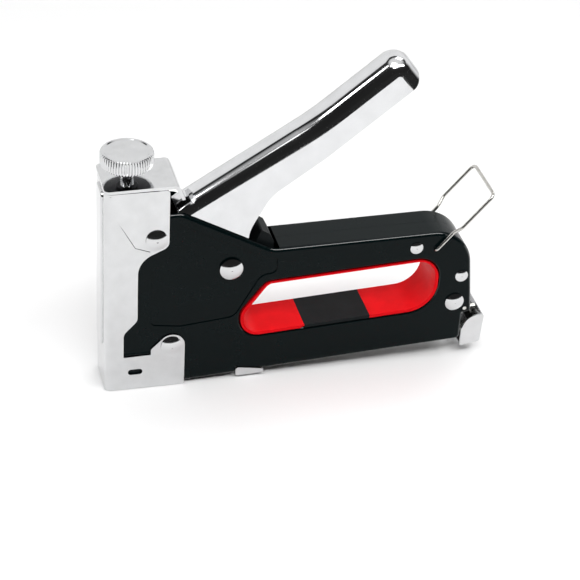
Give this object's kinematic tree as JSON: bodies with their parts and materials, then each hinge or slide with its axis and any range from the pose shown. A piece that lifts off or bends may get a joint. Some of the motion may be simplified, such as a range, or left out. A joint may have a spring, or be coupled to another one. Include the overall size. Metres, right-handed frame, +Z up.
{
  "type": "staple gun",
  "caption": "Hand-squeezed staple gun with a steel body, chromed nose and lever, padded finger loop, tension knob and a wire bail that locks the lever.",
  "frame": {"origin": "middle of the foot behind the staple slot, in the plane the nose is pressed down on", "axes": "+X from the nose to the rear of the grip, +Z up from the nose's working face to the knob, +Y across the gun"},
  "size_m": [0.1851, 0.0308, 0.1596],
  "materials": {
    "black_paint": "gloss black stoved paint on pressed steel",
    "bright_chrome": "bright nickel-chrome plate",
    "lever_chrome": "chrome plate over fine linear polish",
    "dark_steel": "plain hardened steel, oiled",
    "spring_steel": "bright drawn wire and strip",
    "red_pad": "semi-gloss red plastic",
    "black_pad": "black plastic",
    "black_rubber": "black rubber buffer"
  },
  "bodies": {
    "frame": {"near_shell": "black_paint", "far_shell": "black_paint", "nose_cover": "bright_chrome", "top_cap": "bright_chrome", "tension_nut": "dark_steel", "blade_guide": "dark_steel", "foot_block": "dark_steel", "buffer_pad": "black_rubber", "magazine_channel": "spring_steel", "magazine_tabs": "bright_chrome", "front_finger_pad": "red_pad", "rear_finger_pad": "red_pad", "loop_floor_liner": "black_pad", "nose_rivets": "bright_chrome", "rear_rivet": "bright_chrome", "flat_rivets": "bright_chrome", "stop_pin": "spring_steel", "pivot_pin": "bright_chrome", "pivot_washers": "spring_steel", "lever_stop": "black_pad", "return_springs": "spring_steel"},
    "lever": {"lever_channel": "lever_chrome", "lifter_arm": "dark_steel", "lift_rivet": "dark_steel"},
    "striker": {"striker_plunger": "dark_steel", "striker_blade": "dark_steel"},
    "seat": {"spring_seat": "dark_steel", "main_spring": "spring_steel"},
    "knob": {"tension_knob": "bright_chrome"},
    "bail": {"wire_bail": "spring_steel"},
    "magazine_rod": {"magazine_latch": "bright_chrome", "pusher_rod": "spring_steel", "pusher_spring": "spring_steel"},
    "pusher": {"staple_pusher": "dark_steel"}
  },
  "joints": [
    {"name": "lever_squeeze", "type": "hinge", "parent": "frame", "child": "lever", "pos_m": [0.0543, 0, 0.0613], "axis": [0, 1, 0], "range_deg": [0, 39], "stiffness_Nm_per_rad": 0.8, "springref_deg": -4.58},
    {"name": "striker_lift", "type": "slide", "parent": "frame", "child": "striker", "axis": [0, 0, 1], "range_m": [0, 0.0156], "deforming": ["main_spring"]},
    {"name": "seat_travel", "type": "slide", "parent": "frame", "child": "seat", "axis": [0, 0, 1], "range_m": [-0.004, 0.002], "deforming": ["main_spring"]},
    {"name": "knob_turn", "type": "hinge", "parent": "seat", "child": "knob", "pos_m": [0.0078, 0, 0.1175], "axis": [0, 0, 1], "range_deg": [-1441, 721]},
    {"name": "bail_swing", "type": "hinge", "parent": "frame", "child": "bail", "pos_m": [0.1518, 0, 0.0619], "axis": [0, 1, 0], "range_deg": [-7.8, 95]},
    {"name": "magazine_slide", "type": "slide", "parent": "frame", "child": "magazine_rod", "axis": [0.9981, 0, 0.0609], "range_m": [0, 0.12]},
    {"name": "pusher_slide", "type": "slide", "parent": "magazine_rod", "child": "pusher", "axis": [0.9981, 0, 0.0609], "range_m": [0, 0.1], "stiffness_N_per_m": 5, "springref_m": -0.01, "deforming": ["pusher_spring"]}
  ],
  "couplings": [
    {"joint": "striker_lift", "follows": "lever_squeeze", "m_per_rad": 0.02277},
    {"joint": "knob_turn", "follows": "seat_travel", "rad_per_m": 6283.2}
  ]
}
